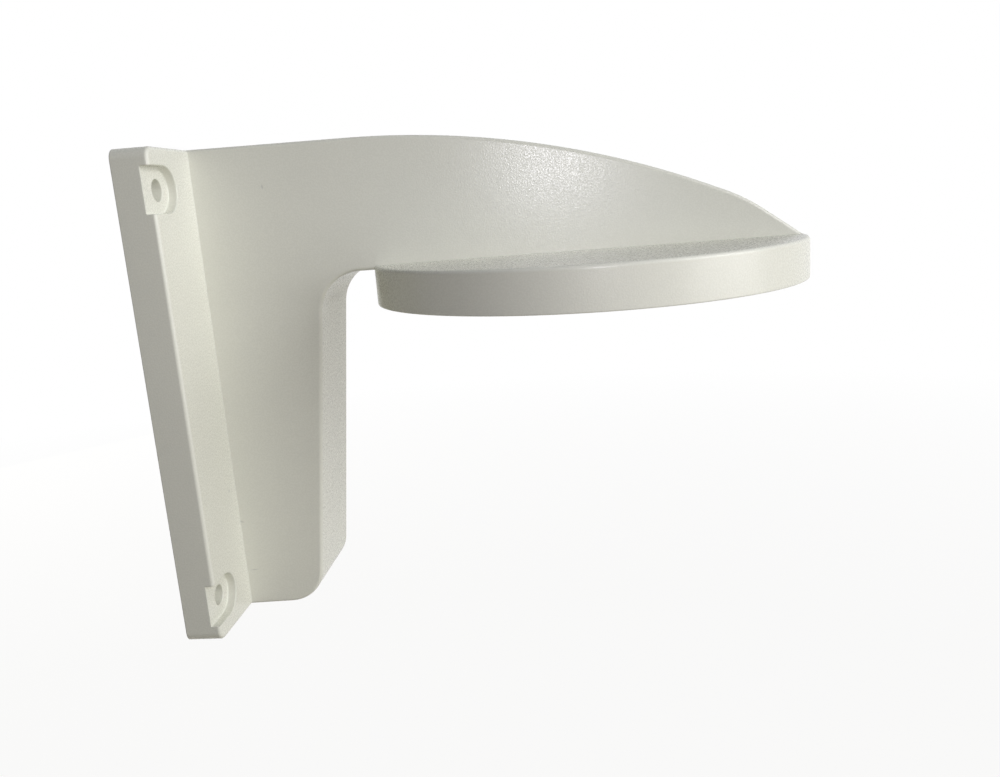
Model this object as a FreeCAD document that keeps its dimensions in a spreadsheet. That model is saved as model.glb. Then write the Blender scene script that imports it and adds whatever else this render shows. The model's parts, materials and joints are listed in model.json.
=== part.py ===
import FreeCAD, Part
import math
import os

import Sketcher

# Wall bracket for a round device that hangs under it, moulded in one piece of plastic:
# a wall plate, a hollow L-shaped arm that carries the cable, and a round mounting dish.
# Frame: X leaves the wall, Y runs across it and Z is up, with the origin at the
# centre of the wall plate's back.

OUT = "parts"
NODE = "bracket_body"
V = FreeCAD.Vector

# Driving sizes in millimetres and degrees
SIZES = [
    # wall plate
    ("plate_width", 82.0, "wall plate, across"),
    ("plate_height", 138.0, "wall plate, up"),
    ("plate_depth", 10.3, "wall plate, out from the wall"),
    ("plate_corner", 3.0, "radius of the plate's outline corners"),
    ("plate_edge", 1.0, "rounding of the plate's front edge"),
    ("wall", 2.8, "thickness of the moulded walls"),
    ("pan_corner", 1.5, "corner radius of the hollow behind the plate"),
    # arm and leg, seen from the side
    ("arm_rise", 36.0, "arm's top above the dish's top"),
    ("arm_bow", 260.0, "radius of the arm's long top curve"),
    ("arm_nose", 55.0, "radius where the top turns down to the tip"),
    ("slope_mid", 22.6, "fall of the short straight between both curves"),
    ("slope_tip", 35.9, "fall of the last straight"),
    ("arm_mid_run", 5.4, "length of the short straight"),
    ("tip_inset", 1.3, "arm's tip inside the dish's rim"),
    ("arm_sink", 1.2, "arm's underside below the dish's top"),
    ("leg_out_top", 44.2, "leg's front from the wall, level with the dish's top"),
    ("leg_out_foot", 32.4, "leg's front from the wall, level with the plate's bottom"),
    ("crook_radius", 12.0, "inner corner between leg and arm"),
    ("foot_radius", 10.5, "outer corner at the foot of the leg"),
    # arm and leg, seen from above
    ("arm_width_root", 35.0, "arm and leg at the wall, across"),
    ("arm_width_tip", 11.0, "arm at the dish's far rim, across"),
    ("arm_edge", 1.0, "rounding of the arm's long edges"),
    # mounting dish
    ("dish_reach", 120.5, "dish's centre from the wall"),
    ("dish_diameter", 125.0, "dish"),
    ("dish_height", 11.1, "dish"),
    ("dish_edge", 1.0, "rounding of the dish's rim"),
    # wall screws, in recesses open to the plate's sides
    ("screw_across", 66.0, "wall screws, spacing across"),
    ("screw_up", 116.0, "wall screws, spacing up"),
    ("screw_hole", 5.8, "wall screw hole"),
    ("screw_recess", 12.4, "recess round a wall screw, across its round end"),
    ("recess_depth", 2.6, "recess below the plate's front"),
    ("screw_block", 11.0, "block behind a wall screw hole"),
    # screws and ribs in the dish
    ("device_circle", 92.0, "circle of the device's screws"),
    ("device_hole", 3.0, "pilot hole for a device screw"),
    ("pilot_depth", 9.0, "depth of a pilot hole"),
    ("device_boss", 8.0, "boss round a pilot hole"),
    ("rib", 1.8, "thickness of the dish's ribs"),
    ("rib_height", 3.5, "height of the dish's ribs"),
    ("rib_gap", 0.5, "ribs behind the plate stay this far off the wall"),
]
DEVICE_SCREWS = 3
DISH_RIBS = 6

# Levels, reaches and offsets that follow from the driving sizes
DERIVED = [
    ("half_width", "plate_width / 2"),
    ("half_height", "plate_height / 2"),
    ("pan_half_width", "plate_width / 2 - wall"),
    ("pan_half_height", "plate_height / 2 - wall"),
    ("pan_depth", "plate_depth - wall"),
    ("screw_y", "screw_across / 2"),
    ("screw_z", "screw_up / 2"),
    ("recess_end", "screw_recess / 2"),
    ("seat_end", "screw_recess / 2 + wall"),
    ("recess_mouth", "plate_width / 2 + wall"),
    ("seat_mouth", "plate_width / 2 - wall / 2"),
    ("seat_back", "plate_depth - recess_depth - wall"),
    ("seat_length", "recess_depth + wall / 2"),
    ("block_in", "screw_across / 2 - screw_block / 2"),
    ("block_low", "screw_up / 2 - screw_block / 2"),
    ("block_high", "screw_up / 2 + screw_block / 2"),
    ("block_length", "plate_depth - recess_depth - wall / 2"),
    ("dish_radius", "dish_diameter / 2"),
    ("dish_top", "plate_height / 2 - arm_rise"),
    ("dish_base", "plate_height / 2 - arm_rise - dish_height"),
    ("dish_roof", "plate_height / 2 - arm_rise - wall"),
    ("dish_hollow", "dish_diameter / 2 - wall"),
    ("rim_far", "dish_reach + dish_diameter / 2"),
    ("trim_far", "dish_reach + dish_diameter / 2 + wall"),
    ("tip_x", "dish_reach + dish_diameter / 2 - tip_inset"),
    ("under", "plate_height / 2 - arm_rise - arm_sink"),
    ("arm_low", "plate_height / 2 - arm_rise - (arm_sink + wall) / 2"),
    ("lean", "atan((leg_out_top - leg_out_foot) / (plate_height - arm_rise))"),
    ("root_half", "arm_width_root / 2"),
    ("tip_half", "arm_width_tip / 2"),
    ("trim_half", "arm_width_root / 2 + wall"),
    ("duct_start", "rib_gap - wall"),
    ("duct_top", "plate_height / 2 - wall"),
    ("duct_bow", "arm_bow - wall"),
    ("duct_nose", "arm_nose - wall"),
    ("duct_tip_x", "dish_reach + dish_diameter / 2 - tip_inset - wall / sin(slope_tip)"),
    ("duct_floor", "plate_height / 2 - arm_rise - arm_sink + wall"),
    ("duct_low", "plate_height / 2 - arm_rise - dish_height - wall"),
    ("duct_out_top", "leg_out_top - wall / cos(lean)"),
    ("duct_out_foot", "leg_out_foot - wall / cos(lean)"),
    ("duct_crook", "crook_radius + wall"),
    ("duct_foot", "foot_radius - wall"),
    ("duct_width", "arm_width_root - 2 * wall"),
    ("duct_root_half", "arm_width_root / 2 - wall"),
    ("duct_tip_half", "arm_width_tip / 2 - wall"),
    ("mouth_near", "max(dish_reach - dish_diameter / 2 + 2 * wall; leg_out_top + crook_radius + wall)"),
    ("mouth_far", "dish_reach + (device_circle - device_boss - wall) / 2"),
    ("collar_near", "dish_reach - dish_diameter / 2 + wall"),
    ("collar_far", "dish_reach + (device_circle - device_boss + rib) / 2"),
    ("collar_inner", "dish_reach + (device_circle - device_boss - rib) / 2"),
    ("rib_level", "plate_height / 2 - arm_rise - wall - rib_height"),
    ("rib_length", "rib_height + wall / 2"),
    ("rib_reach", "dish_diameter / 2 - wall / 2"),
    ("half_rib", "rib / 2"),
    ("device_radius", "device_circle / 2"),
    ("device_boss_length", "dish_height - wall / 2"),
]

doc = FreeCAD.newDocument("wall_bracket")
N = {}


def make_sheets():
    """Both sheets: driving sizes as plain numbers, derived ones as formulas of them."""
    sizes = doc.addObject("Spreadsheet::Sheet", "sizes")
    for row, (alias, value, note) in enumerate(SIZES, start=1):
        sizes.set("A%d" % row, alias)
        sizes.set("B%d" % row, str(value))
        sizes.set("C%d" % row, note)
        sizes.setAlias("B%d" % row, alias)
        N[alias] = value
    derived = doc.addObject("Spreadsheet::Sheet", "derived")
    for row, (alias, formula) in enumerate(DERIVED, start=1):
        derived.set("A%d" % row, alias)
        derived.set("B%d" % row, "=" + with_sheet(formula))
        derived.setAlias("B%d" % row, alias)
    doc.recompute()
    for alias, formula in DERIVED:
        number = getattr(derived, alias)
        N[alias] = float(getattr(number, "Value", number))


def with_sheet(formula):
    """The formula with sizes. before each driving size that it names."""
    driving = [alias for alias, value, note in SIZES]
    text = ""
    word = ""
    for char in formula + " ":
        if char.isalnum() or char == "_":
            word += char
            continue
        text += ("sizes." + word if word in driving else word) + char
        word = ""
    return text.strip()


def cell(name):
    """Reference to a named size, for an expression; a leading minus is kept."""
    sign = "-" if name.startswith("-") else ""
    name = name.lstrip("-")
    driving = [alias for alias, value, note in SIZES]
    return sign + ("sizes." if name in driving else "derived.") + name


def number(name):
    return -N[name[1:]] if name.startswith("-") else N[name]


def new_body(name):
    body = doc.addObject("PartDesign::Body", name)
    body.Label = name
    return body


def origin_plane(body, role):
    return [item for item in body.Origin.OriginFeatures if item.Role == role][0]


def sketch_on(body, role, name, **shift):
    """A sketch on one of the body's origin planes, moved by named sizes in x, y or z."""
    sketch = body.newObject("Sketcher::SketchObject", name)
    sketch.AttachmentSupport = [(origin_plane(body, role), "")]
    sketch.MapMode = "FlatFace"
    for axis, size in shift.items():
        sketch.setExpression("AttachmentOffset.Base." + axis, cell(size))
    return sketch


def dimension(sketch, kind, refs, size):
    """A dimension that follows a named size."""
    value = number(size)
    if kind == "Angle":
        value = math.radians(value)
    index = sketch.addConstraint(Sketcher.Constraint(kind, *refs, value))
    name = "%s_%d" % (kind.lower(), index)
    sketch.renameConstraint(index, name)
    sketch.setExpression("Constraints." + name, cell(size))


def place(sketch, geometry, end, x=None, y=None):
    """A point's coordinates from the sketch's origin, by named sizes."""
    if x is not None:
        dimension(sketch, "DistanceX", (-1, 1, geometry, end), x)
    if y is not None:
        dimension(sketch, "DistanceY", (-1, 1, geometry, end), y)


def meet(sketch, *pairs):
    """Ends that coincide, each pair as (curve, end, curve, end)."""
    for pair in pairs:
        sketch.addConstraint(Sketcher.Constraint("Coincident", *pair))


def run_on(sketch, *pairs):
    """Ends that coincide and run on smoothly."""
    for pair in pairs:
        sketch.addConstraint(Sketcher.Constraint("Tangent", *pair))


def line(sketch, start, end):
    return sketch.addGeometry(Part.LineSegment(V(*start, 0), V(*end, 0)), False)


def arc(sketch, centre, radius, start, end):
    """Arc about the centre, anticlockwise between two angles."""
    full = Part.Circle(V(*centre, 0), V(0, 0, 1), radius)
    return sketch.addGeometry(Part.ArcOfCircle(full, start, end), False)


def level(sketch, *lines):
    for item in lines:
        sketch.addConstraint(Sketcher.Constraint("Horizontal", item))


def upright(sketch, *lines):
    for item in lines:
        sketch.addConstraint(Sketcher.Constraint("Vertical", item))


def hole_circle(sketch, diameter, x, y=None):
    """Circle placed by named sizes; without y it lies on the sketch's own X axis."""
    centre = V(N[x], N[y] if y else 0, 0)
    ring = sketch.addGeometry(Part.Circle(centre, V(0, 0, 1), N[diameter] / 2), False)
    place(sketch, ring, 3, x, y)
    if not y:
        sketch.addConstraint(Sketcher.Constraint("PointOnObject", ring, 3, -1))
    dimension(sketch, "Diameter", (ring,), diameter)


def round_rectangle(sketch, half_width, half_height, corner_radius):
    """Rectangle about the sketch's origin with round corners."""
    w, h, r = N[half_width], N[half_height], N[corner_radius]
    right = line(sketch, (w, -h + r), (w, h - r))
    top = line(sketch, (w - r, h), (-w + r, h))
    left = line(sketch, (-w, h - r), (-w, -h + r))
    base = line(sketch, (-w + r, -h), (w - r, -h))
    quarter = math.pi / 2
    corners = [
        arc(sketch, (w - r, h - r), r, 0, quarter),
        arc(sketch, (-w + r, h - r), r, quarter, 2 * quarter),
        arc(sketch, (-w + r, -h + r), r, 2 * quarter, 3 * quarter),
        arc(sketch, (w - r, -h + r), r, 3 * quarter, 4 * quarter),
    ]
    sides = [right, top, left, base]
    for index, corner in enumerate(corners):
        run_on(sketch, (sides[index], 2, corner, 1), (corner, 2, sides[(index + 1) % 4], 1))
        dimension(sketch, "Radius", (corner,), corner_radius)
    level(sketch, top, base)
    upright(sketch, right, left)
    place(sketch, right, 1, x=half_width)
    place(sketch, left, 1, x="-" + half_width)
    place(sketch, top, 1, y=half_height)
    place(sketch, base, 1, y="-" + half_height)


def upright_rectangle(sketch, left, right, low, high):
    """Rectangle between named sizes."""
    x0, x1, y0, y1 = N[left], N[right], N[low], N[high]
    base, far, top, near = polygon(sketch, [(x0, y0), (x1, y0), (x1, y1), (x0, y1)])
    level(sketch, base, top)
    upright(sketch, far, near)
    place(sketch, base, 1, left, low)
    place(sketch, top, 1, right, high)


def side_slot(sketch, radius, mouth):
    """Slot about the upper right wall screw, with a round end and open to the side."""
    y, z, r, edge = N["screw_y"], N["screw_z"], N[radius], N[mouth]
    upper = line(sketch, (edge, z + r), (y, z + r))
    end = arc(sketch, (y, z), r, math.pi / 2, 3 * math.pi / 2)
    lower = line(sketch, (y, z - r), (edge, z - r))
    close = line(sketch, (edge, z - r), (edge, z + r))
    run_on(sketch, (upper, 2, end, 1), (end, 2, lower, 1))
    meet(sketch, (lower, 2, close, 1), (close, 2, upper, 1))
    level(sketch, upper, lower)
    upright(sketch, close)
    place(sketch, end, 3, "screw_y", "screw_z")
    place(sketch, close, 1, x=mouth)
    dimension(sketch, "Radius", (end,), radius)


def fall_point(centre, radius, fall):
    """Point on a convex curve where it falls at the angle, going away from the wall."""
    return (centre[0] + radius * math.sin(fall), centre[1] + radius * math.cos(fall))


def arm_profile(sketch, size):
    """Closed side profile of the arm and leg, clockwise from the top beside the wall.

    The top runs level, bows down in a long curve, has a short straight, turns in the
    nose curve and ends in a straight slope.  Over the dish the profile reaches down
    into it.  The underside then runs back to the crook, a concave corner into the
    leaning front of the leg, which ends in the round foot.
    """
    top, bow, nose = N[size["top"]], N[size["bow"]], N[size["nose"]]
    mid, tip = math.radians(N["slope_mid"]), math.radians(N["slope_tip"])
    run, floor, bottom = N["arm_mid_run"], N[size["floor"]], number(size["bottom"])
    start, tip_at = N[size["start"]], (N[size["tip_x"]], N["dish_top"])
    # the last straight closes the fall from the top to the tip
    drop = bow * (1 - math.cos(mid)) + run * math.sin(mid) + nose * (math.cos(mid) - math.cos(tip))
    last = (top - N["dish_top"] - drop) / math.sin(tip)
    nose_end = (tip_at[0] - last * math.cos(tip), tip_at[1] + last * math.sin(tip))
    nose_mid = (nose_end[0] - nose * math.sin(tip), nose_end[1] - nose * math.cos(tip))
    nose_start = fall_point(nose_mid, nose, mid)
    bow_end = (nose_start[0] - run * math.cos(mid), nose_start[1] + run * math.sin(mid))
    bow_mid = (bow_end[0] - bow * math.sin(mid), bow_end[1] - bow * math.cos(mid))
    bow_start = fall_point(bow_mid, bow, 0)
    # front of the leg, and the round corners at its ends
    lean = math.radians(N["lean"])
    out_top, out_foot = N[size["out_top"]], N[size["out_foot"]]

    def front_at(z):
        return out_top + (z - N["dish_top"]) * math.tan(lean)

    crook, foot = N[size["crook"]], N[size["foot"]]
    crook_mid = (front_at(floor - crook) + crook / math.cos(lean), floor - crook)
    foot_mid = (front_at(bottom + foot) - foot / math.cos(lean), bottom + foot)
    front_start = (crook_mid[0] - crook * math.cos(lean), crook_mid[1] + crook * math.sin(lean))
    front_end = (foot_mid[0] + foot * math.cos(lean), foot_mid[1] - foot * math.sin(lean))

    quarter = math.pi / 2
    top_line = line(sketch, (start, top), bow_start)
    bow_arc = arc(sketch, bow_mid, bow, quarter - mid, quarter)
    mid_line = line(sketch, bow_end, nose_start)
    nose_arc = arc(sketch, nose_mid, nose, quarter - tip, quarter - mid)
    tip_line = line(sketch, nose_end, tip_at)
    low, near = N[size["low"]], N["mouth_near"]
    drop_line = line(sketch, tip_at, (tip_at[0], low))
    base_line = line(sketch, (tip_at[0], low), (near, low))
    riser = line(sketch, (near, low), (near, floor))
    floor_line = line(sketch, (near, floor), (crook_mid[0], floor))
    crook_arc = arc(sketch, crook_mid, crook, quarter, math.pi - lean)
    front_line = line(sketch, front_start, front_end)
    foot_arc = arc(sketch, foot_mid, foot, -quarter, -lean)
    bottom_line = line(sketch, (foot_mid[0], bottom), (start, bottom))
    back_line = line(sketch, (start, bottom), (start, top))

    run_on(sketch, (top_line, 2, bow_arc, 2), (bow_arc, 1, mid_line, 1))
    run_on(sketch, (mid_line, 2, nose_arc, 2), (nose_arc, 1, tip_line, 1))
    meet(sketch, (tip_line, 2, drop_line, 1), (drop_line, 2, base_line, 1))
    meet(sketch, (base_line, 2, riser, 1), (riser, 2, floor_line, 1))
    run_on(sketch, (floor_line, 2, crook_arc, 1), (crook_arc, 2, front_line, 1))
    run_on(sketch, (front_line, 2, foot_arc, 2), (foot_arc, 1, bottom_line, 1))
    meet(sketch, (bottom_line, 2, back_line, 1), (back_line, 2, top_line, 1))
    level(sketch, top_line, base_line, floor_line, bottom_line)
    upright(sketch, drop_line, riser, back_line)
    place(sketch, top_line, 1, size["start"], size["top"])
    place(sketch, bottom_line, 2, y=size["bottom"])
    place(sketch, floor_line, 2, y=size["floor"])
    place(sketch, base_line, 2, "mouth_near", size["low"])
    place(sketch, tip_line, 2, size["tip_x"], "dish_top")
    dimension(sketch, "Radius", (bow_arc,), size["bow"])
    dimension(sketch, "Radius", (nose_arc,), size["nose"])
    dimension(sketch, "Radius", (crook_arc,), size["crook"])
    dimension(sketch, "Radius", (foot_arc,), size["foot"])
    dimension(sketch, "Distance", (mid_line,), "arm_mid_run")
    dimension(sketch, "Angle", (mid_line,), "-slope_mid")
    dimension(sketch, "Angle", (tip_line,), "-slope_tip")
    # the leg's front passes through one point at each of two levels
    for out, height in ((size["out_top"], "dish_top"), (size["out_foot"], "-half_height")):
        point = sketch.addGeometry(Part.Point(V(N[out], number(height), 0)), True)
        place(sketch, point, 1, out, height)
        sketch.addConstraint(Sketcher.Constraint("PointOnObject", point, 1, front_line))


def taper_rays(sketch, root_half, tip_half):
    """Construction lines of the arm's taper in plan, from the wall to the far rim."""
    rays = []
    for sign, side in (("", 1), ("-", -1)):
        ray = line(sketch, (0, side * N[root_half]), (N["rim_far"], side * N[tip_half]))
        sketch.toggleConstruction(ray)
        sketch.addConstraint(Sketcher.Constraint("PointOnObject", ray, 1, -2))
        place(sketch, ray, 1, y=sign + root_half)
        place(sketch, ray, 2, "rim_far", sign + tip_half)
        rays.append(ray)
    return rays


def polygon(sketch, points):
    """Closed run of straight lines through the points."""
    lines = [line(sketch, start, end) for start, end in zip(points, points[1:] + points[:1])]
    for index, item in enumerate(lines):
        meet(sketch, (item, 2, lines[(index + 1) % len(lines)], 1))
    return lines


def taper_frame(sketch, root_half, tip_half, end):
    """U-shaped plan of what is trimmed off round the arm: both sides and past its end."""
    rays = taper_rays(sketch, root_half, tip_half)
    root, far, outer = N[root_half], N["trim_far"], N["trim_half"]
    half = root + (N[tip_half] - root) * N[end] / N["rim_far"]
    upper, stop, lower, near_low, base, far_line, top, near_up = polygon(sketch, [
        (0, root), (N[end], half), (N[end], -half), (0, -root),
        (0, -outer), (far, -outer), (far, outer), (0, outer),
    ])
    upright(sketch, stop, near_low, far_line, near_up)
    level(sketch, base, top)
    meet(sketch, (upper, 1, rays[0], 1), (lower, 2, rays[1], 1))
    sketch.addConstraint(Sketcher.Constraint("PointOnObject", upper, 2, rays[0]))
    sketch.addConstraint(Sketcher.Constraint("PointOnObject", lower, 1, rays[1]))
    place(sketch, stop, 1, x=end)
    place(sketch, base, 2, "trim_far", "-trim_half")
    place(sketch, top, 1, y="trim_half")


def extrude(body, kind, name, sketch, length=None, **settings):
    """Pad or pocket of a sketch, its length a named size; it must change the volume."""
    before = body.Shape.Volume if body.Tip else 0.0
    feature = body.newObject("PartDesign::" + kind, name)
    feature.Profile = sketch
    if length:
        feature.setExpression("Length", cell(length))
    for key, value in settings.items():
        setattr(feature, key, value)
    sketch.Visibility = False
    doc.recompute()
    grown = body.Shape.Volume - before
    if grown * (1 if kind == "Pad" else -1) < 1.0:
        raise ValueError("%s changes nothing" % name)
    return feature


def round_edges(body, name, base, radius, wanted):
    """Fillet on the edges of the base feature that the test picks."""
    names = []
    for index, edge in enumerate(base.Shape.Edges, start=1):
        if wanted(edge):
            names.append("Edge%d" % index)
    if not names:
        raise ValueError("%s finds no edge" % name)
    fillet = body.newObject("PartDesign::Fillet", name)
    fillet.Base = (base, names)
    fillet.setExpression("Radius", cell(radius))
    doc.recompute()
    return fillet


def repeat(body, name, kind, originals, **settings):
    """Pattern or mirror of features, which then ends the body."""
    feature = body.newObject("PartDesign::" + kind, name)
    feature.Originals = originals
    for key, value in settings.items():
        setattr(feature, key, value)
    body.Tip = feature
    doc.recompute()
    return feature


def make_plate():
    """Wall plate: a shallow pan, open at the back, with four recessed screw seats."""
    body = new_body("plate_form")
    outline = sketch_on(body, "YZ_Plane", "plate_outline")
    round_rectangle(outline, "half_width", "half_height", "plate_corner")
    slab = extrude(body, "Pad", "plate_slab", outline, "plate_depth")
    front = N["plate_depth"]
    rounded = round_edges(
        body, "plate_front_edge", slab, "plate_edge",
        lambda edge: all(abs(vertex.X - front) < 1e-6 for vertex in edge.Vertexes),
    )
    body.Tip = rounded

    hollow = sketch_on(body, "YZ_Plane", "pan_outline")
    round_rectangle(hollow, "pan_half_width", "pan_half_height", "pan_corner")
    extrude(body, "Pocket", "pan", hollow, "pan_depth", Reversed=True)

    seat = sketch_on(body, "YZ_Plane", "seat_outline", z="seat_back")
    side_slot(seat, "seat_end", "seat_mouth")
    seat_pad = extrude(body, "Pad", "screw_seat", seat, "seat_length")
    block = sketch_on(body, "YZ_Plane", "block_outline")
    upright_rectangle(block, "block_in", "seat_mouth", "block_low", "block_high")
    block_pad = extrude(body, "Pad", "screw_block", block, "block_length")
    recess = sketch_on(body, "YZ_Plane", "recess_outline", z="plate_depth")
    side_slot(recess, "recess_end", "recess_mouth")
    recess_cut = extrude(body, "Pocket", "screw_recess", recess, "recess_depth")
    hole = sketch_on(body, "YZ_Plane", "hole_outline", z="plate_depth")
    hole_circle(hole, "screw_hole", "screw_y", "screw_z")
    hole_cut = extrude(body, "Pocket", "screw_hole", hole, Type="ThroughAll")

    corner = [seat_pad, block_pad, recess_cut, hole_cut]
    across = body.newObject("PartDesign::Mirrored", "corners_across")
    across.MirrorPlane = (origin_plane(body, "XZ_Plane"), [""])
    below = body.newObject("PartDesign::Mirrored", "corners_below")
    below.MirrorPlane = (origin_plane(body, "XY_Plane"), [""])
    repeat(body, "screw_corners", "MultiTransform", corner, Transformations=[across, below])
    return body


def make_arm():
    """Arm and leg as one solid, tapering in plan, with its long edges rounded."""
    body = new_body("arm_form")
    side = sketch_on(body, "XZ_Plane", "arm_side")
    arm_profile(side, {
        "start": "rib_gap", "top": "half_height", "bow": "arm_bow", "nose": "arm_nose",
        "tip_x": "tip_x", "low": "arm_low", "floor": "under", "crook": "crook_radius",
        "out_top": "leg_out_top", "out_foot": "leg_out_foot",
        "foot": "foot_radius", "bottom": "-half_height",
    })
    extrude(body, "Pad", "arm_block", side, "arm_width_root", SideType="Symmetric")
    plan = sketch_on(body, "XY_Plane", "arm_taper")
    taper_frame(plan, "root_half", "tip_half", "rim_far")
    taper = extrude(body, "Pocket", "arm_sides", plan, Type="ThroughAll", SideType="Symmetric")

    start, tip_x = N["rib_gap"], N["tip_x"]
    near, under = N["mouth_near"], N["under"]

    def long_edge(edge):
        """On one side of the arm, and not at its start or buried in the dish."""
        ends = [vertex.Point for vertex in edge.Vertexes]
        if len(ends) < 2 or ends[0].y * ends[1].y < 0:
            return False
        at_start = all(end.x - start < 1e-4 for end in ends)
        at_tip = all(tip_x - end.x < 1e-4 for end in ends)
        buried = all(near - end.x < 1e-4 and end.z - under < 1e-4 for end in ends)
        return not (at_start or at_tip or buried)

    rounded = round_edges(body, "arm_long_edges", taper, "arm_edge", long_edge)
    body.Tip = rounded
    return body


def make_duct():
    """Core of the arm: the cable's way from the wall through the leg into the dish."""
    body = new_body("duct_core")
    side = sketch_on(body, "XZ_Plane", "duct_side")
    arm_profile(side, {
        "start": "duct_start", "top": "duct_top", "bow": "duct_bow", "nose": "duct_nose",
        "tip_x": "duct_tip_x", "low": "duct_low", "floor": "duct_floor", "crook": "duct_crook",
        "out_top": "duct_out_top", "out_foot": "duct_out_foot",
        "foot": "duct_foot", "bottom": "-pan_half_height",
    })
    extrude(body, "Pad", "duct_block", side, "duct_width", SideType="Symmetric")
    plan = sketch_on(body, "XY_Plane", "duct_taper")
    taper_frame(plan, "duct_root_half", "duct_tip_half", "mouth_far")
    extrude(body, "Pocket", "duct_sides", plan, Type="ThroughAll", SideType="Symmetric")
    return body


def dish_section(sketch):
    """Half section of the dish: roof, rounded rim and hollow, beside its axis."""
    radius, hollow, edge = N["dish_radius"], N["dish_hollow"], N["dish_edge"]
    top, roof, base = N["dish_top"], N["dish_roof"], N["dish_base"]
    top_line = line(sketch, (0, top), (radius - edge, top))
    corner = arc(sketch, (radius - edge, top - edge), edge, 0, math.pi / 2)
    rim = line(sketch, (radius, top - edge), (radius, base))
    foot = line(sketch, (radius, base), (hollow, base))
    inner = line(sketch, (hollow, base), (hollow, roof))
    under = line(sketch, (hollow, roof), (0, roof))
    axis = line(sketch, (0, roof), (0, top))
    run_on(sketch, (top_line, 2, corner, 2), (corner, 1, rim, 1))
    meet(sketch, (rim, 2, foot, 1), (foot, 2, inner, 1), (inner, 2, under, 1))
    meet(sketch, (under, 2, axis, 1), (axis, 2, top_line, 1))
    level(sketch, top_line, foot, under)
    upright(sketch, rim, inner)
    sketch.addConstraint(Sketcher.Constraint("PointOnObject", axis, 1, -2))
    sketch.addConstraint(Sketcher.Constraint("PointOnObject", axis, 2, -2))
    place(sketch, axis, 2, y="dish_top")
    place(sketch, rim, 2, "dish_radius", "dish_base")
    place(sketch, inner, 2, "dish_hollow", "dish_roof")
    dimension(sketch, "Radius", (corner,), "dish_edge")


def radial_strip(sketch):
    """Rectangle from the dish's centre out to its rim, one rib thick."""
    reach, half = N["rib_reach"], N["half_rib"]
    base, far, top, near = polygon(sketch, [(0, -half), (reach, -half), (reach, half), (0, half)])
    level(sketch, base, top)
    upright(sketch, near, far)
    sketch.addConstraint(Sketcher.Constraint("PointOnObject", near, 2, -2))
    place(sketch, base, 2, "rib_reach", "-half_rib")
    place(sketch, top, 2, y="half_rib")


def collar_plan(sketch):
    """U-shaped plan of the collar round the duct's mouth, open at the near rim."""
    rays = taper_rays(sketch, "root_half", "tip_half")
    slope = (N["tip_half"] - N["root_half"]) / N["rim_far"]
    near, far, inner = N["collar_near"], N["collar_far"], N["collar_inner"]
    near_half, far_half = N["root_half"] + slope * near, N["root_half"] + slope * far
    near_in, far_in = near_half - N["rib"], N["root_half"] + slope * inner - N["rib"]
    upper, end, lower, low_stub, low_in, end_in, up_in, up_stub = polygon(sketch, [
        (near, near_half), (far, far_half), (far, -far_half), (near, -near_half),
        (near, -near_in), (inner, -far_in), (inner, far_in), (near, near_in),
    ])
    upright(sketch, end, low_stub, end_in, up_stub)
    for point in ((upper, 1, rays[0]), (upper, 2, rays[0]), (lower, 1, rays[1]), (lower, 2, rays[1])):
        sketch.addConstraint(Sketcher.Constraint("PointOnObject", *point))
    sketch.addConstraint(Sketcher.Constraint("Parallel", up_in, rays[0]))
    sketch.addConstraint(Sketcher.Constraint("Parallel", low_in, rays[1]))
    place(sketch, upper, 1, x="collar_near")
    place(sketch, lower, 2, x="collar_near")
    place(sketch, end, 1, x="collar_far")
    place(sketch, end_in, 1, x="collar_inner")
    dimension(sketch, "Distance", (up_stub,), "rib")
    dimension(sketch, "Distance", (low_stub,), "rib")


def make_bracket(plate, arm, duct):
    """The whole moulding: dish with bosses and ribs, joined to plate and arm, and cored."""
    body = new_body(NODE)
    section = sketch_on(body, "XZ_Plane", "dish_section", x="dish_reach")
    dish_section(section)
    dish = body.newObject("PartDesign::Revolution", "dish")
    dish.Profile = section
    dish.ReferenceAxis = (section, ["V_Axis"])
    dish.Angle = 360
    section.Visibility = False
    doc.recompute()

    boss = sketch_on(body, "XY_Plane", "device_boss_outline", x="dish_reach", z="dish_base")
    hole_circle(boss, "device_boss", "device_radius")
    boss_pad = extrude(body, "Pad", "device_boss", boss, "device_boss_length")
    repeat(
        body, "device_bosses", "PolarPattern", [boss_pad],
        Axis=(boss, ["N_Axis"]), Angle=360, Occurrences=DEVICE_SCREWS,
    )

    strip = sketch_on(body, "XY_Plane", "rib_outline", x="dish_reach", z="rib_level")
    radial_strip(strip)
    rib_pad = extrude(body, "Pad", "dish_rib", strip, "rib_length")
    repeat(
        body, "dish_ribs", "PolarPattern", [rib_pad],
        Axis=(strip, ["N_Axis"]), Angle=360, Occurrences=DISH_RIBS,
    )
    collar = sketch_on(body, "XY_Plane", "collar_outline", z="rib_level")
    collar_plan(collar)
    extrude(body, "Pad", "mouth_collar", collar, "rib_length")
    # the pilot holes come after the ribs, which run into their bosses
    pilot = sketch_on(body, "XY_Plane", "pilot_outline", x="dish_reach", z="dish_base")
    hole_circle(pilot, "device_hole", "device_radius")
    pilot_cut = extrude(body, "Pocket", "pilot", pilot, "pilot_depth", Reversed=True)
    repeat(
        body, "device_pilots", "PolarPattern", [pilot_cut],
        Axis=(pilot, ["N_Axis"]), Angle=360, Occurrences=DEVICE_SCREWS,
    )

    joined = body.newObject("PartDesign::Boolean", "joined")
    joined.Type = "Fuse"
    joined.Group = [plate, arm]
    doc.recompute()
    cored = body.newObject("PartDesign::Boolean", "cored")
    cored.Type = "Cut"
    cored.Group = [duct]
    body.Tip = cored
    doc.recompute()
    return body


def check_document():
    """Every object recomputed without an error."""
    for item in doc.Objects:
        bad = [state for state in item.State if state in ("Invalid", "Error")]
        if bad:
            raise ValueError("%s is %s" % (item.Name, ", ".join(bad)))


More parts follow.
